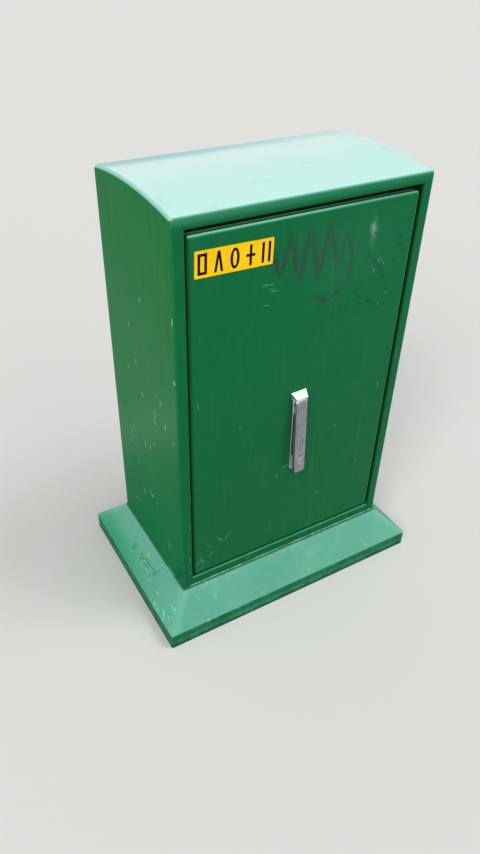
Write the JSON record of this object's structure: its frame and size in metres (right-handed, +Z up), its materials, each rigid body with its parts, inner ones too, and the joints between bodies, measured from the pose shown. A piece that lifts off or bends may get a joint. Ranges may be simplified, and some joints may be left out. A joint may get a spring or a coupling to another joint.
{
  "type": "roadside utility cabinet",
  "caption": "Upright outdoor service cabinet with an arched roof, one hinged door with a recessed swing handle and rod lock, and a flared plinth.",
  "frame": {"origin": "on the ground, in the middle of the plinth", "axes": "+Z up, +X to the right along the front as seen from the front, +Y towards the back"},
  "size_m": [0.736, 0.492, 1.0656],
  "materials": {
    "green_moulding": "weathered gloss, chalked on top",
    "rubber_seal": "matt",
    "zinc_steel": "bright zinc",
    "galvanised_sheet": "galvanised",
    "grey_casting": "satin grey coat, worn",
    "cylinder_nickel": "dull nickel",
    "brass": "dull",
    "black_plastic": "fine texture",
    "beige_plastic": "fine texture",
    "red_plastic": "satin",
    "plate_yellow": "faded satin"
  },
  "bodies": {
    "frame": {"plinth": "green_moulding", "base_seal": "rubber_seal", "cabinet_shell": "green_moulding", "body_bolts": "zinc_steel", "body_nuts": "zinc_steel", "gland_plate": "galvanised_sheet", "gland_plate_screws": "zinc_steel", "cable_glands": "black_plastic", "gland_nuts": "black_plastic", "door_gasket": "rubber_seal", "upper_hinge_frame_leaf": "grey_casting", "lower_hinge_frame_leaf": "grey_casting", "upper_hinge_pin": "zinc_steel", "lower_hinge_pin": "zinc_steel", "hinge_foot_screws": "zinc_steel", "equipment_plate": "galvanised_sheet", "equipment_plate_screws": "zinc_steel", "upper_rail": "zinc_steel", "lower_rail": "zinc_steel", "rail_screws": "zinc_steel", "upper_terminal_strip": "beige_plastic", "lower_terminal_strip": "beige_plastic", "earth_bar_insulators": "red_plastic", "earth_bar": "brass", "earth_bar_screws": "zinc_steel"},
    "door": {"door_panel": "green_moulding", "upper_hinge_door_leaf": "grey_casting", "lower_hinge_door_leaf": "grey_casting", "hinge_leaf_screws": "zinc_steel", "number_plate": "plate_yellow", "handle_dish": "grey_casting", "dish_screws": "zinc_steel", "lock_case": "grey_casting", "lock_case_screws": "zinc_steel", "lock_cover": "zinc_steel", "lock_cover_screws": "zinc_steel", "upper_rod_guide": "black_plastic", "lower_rod_guide": "black_plastic", "rod_guide_screws": "zinc_steel"},
    "spindle": {"handle_spindle": "zinc_steel", "lock_pinion": "zinc_steel"},
    "lever": {"handle_lever": "grey_casting", "lever_pin": "zinc_steel", "lock_cylinder": "cylinder_nickel"},
    "key_plug": {"key_plug": "cylinder_nickel"},
    "keyhole_cover": {"keyhole_cover": "grey_casting"},
    "upper_rod": {"upper_rod": "zinc_steel"},
    "lower_rod": {"lower_rod": "zinc_steel"}
  },
  "joints": [
    {"name": "door_swing", "type": "hinge", "parent": "frame", "child": "door", "pos_m": [-0.257, -0.1665, 0.583], "axis": [0, 0, -1], "range_deg": [0, 105]},
    {"name": "handle_turn", "type": "hinge", "parent": "door", "child": "spindle", "pos_m": [0.0035, -0.1765, 0.579], "axis": [0, -1, 0], "range_deg": [0, 90]},
    {"name": "handle_tilt", "type": "hinge", "parent": "spindle", "child": "lever", "pos_m": [0.0035, -0.189, 0.579], "axis": [-0.999, 0, -0.0436], "range_deg": [0, 25]},
    {"name": "key_turn", "type": "hinge", "parent": "lever", "child": "key_plug", "pos_m": [0.01004, -0.1875, 0.42914], "axis": [0, -1, 0], "range_deg": [0, 90]},
    {"name": "cover_swing", "type": "hinge", "parent": "lever", "child": "keyhole_cover", "pos_m": [0.00913, -0.1945, 0.45012], "axis": [0, -1, 0], "range_deg": [0, 180]},
    {"name": "upper_rod_slide", "type": "slide", "parent": "door", "child": "upper_rod", "axis": [0, 0, -1], "range_m": [0, 0.0201]},
    {"name": "lower_rod_slide", "type": "slide", "parent": "door", "child": "lower_rod", "axis": [0, 0, 1], "range_m": [0, 0.0201]}
  ],
  "couplings": [
    {"joint": "upper_rod_slide", "follows": "handle_turn", "m_per_rad": 0.01275},
    {"joint": "lower_rod_slide", "follows": "handle_turn", "m_per_rad": 0.01275}
  ]
}
